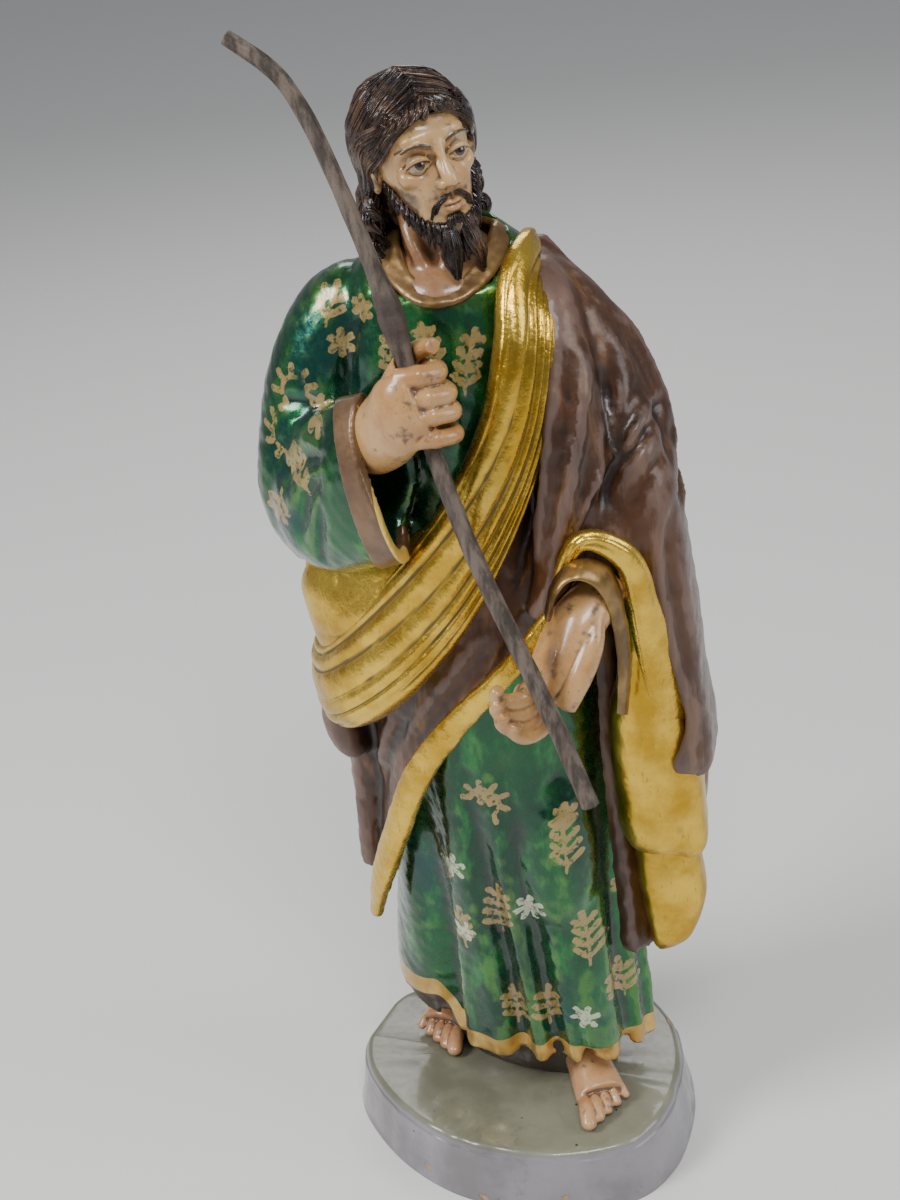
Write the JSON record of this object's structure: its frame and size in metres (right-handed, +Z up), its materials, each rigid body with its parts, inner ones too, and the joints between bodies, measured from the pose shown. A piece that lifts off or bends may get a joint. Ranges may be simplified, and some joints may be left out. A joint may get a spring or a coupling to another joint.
{
  "type": "carved wooden saint statue",
  "caption": "Standing carved, painted and gilded wooden figure of a bearded saint in tunic and mantle, holding a natural twig as a staff, on an irregular oval plinth.",
  "frame": {"origin": "centre of the plinth's flat underside", "axes": "+Z up, the figure's front faces -Y, +X is the viewer's right, which is the figure's left"},
  "size_m": [0.1818, 0.1556, 0.5247],
  "materials": {
    "plinth": "glossy olive-grey paint, chipped",
    "figure": "green lacquer, gold leaf and brown paint over carved wood, worn",
    "hands": "glossy skin-coloured paint with grey dirt",
    "staff": "rough grey-brown bark"
  },
  "bodies": {
    "root": {"plinth": "plinth", "figure": "figure", "right_hand": "hands", "left_hand": "hands", "staff": "staff"}
  },
  "joints": []
}
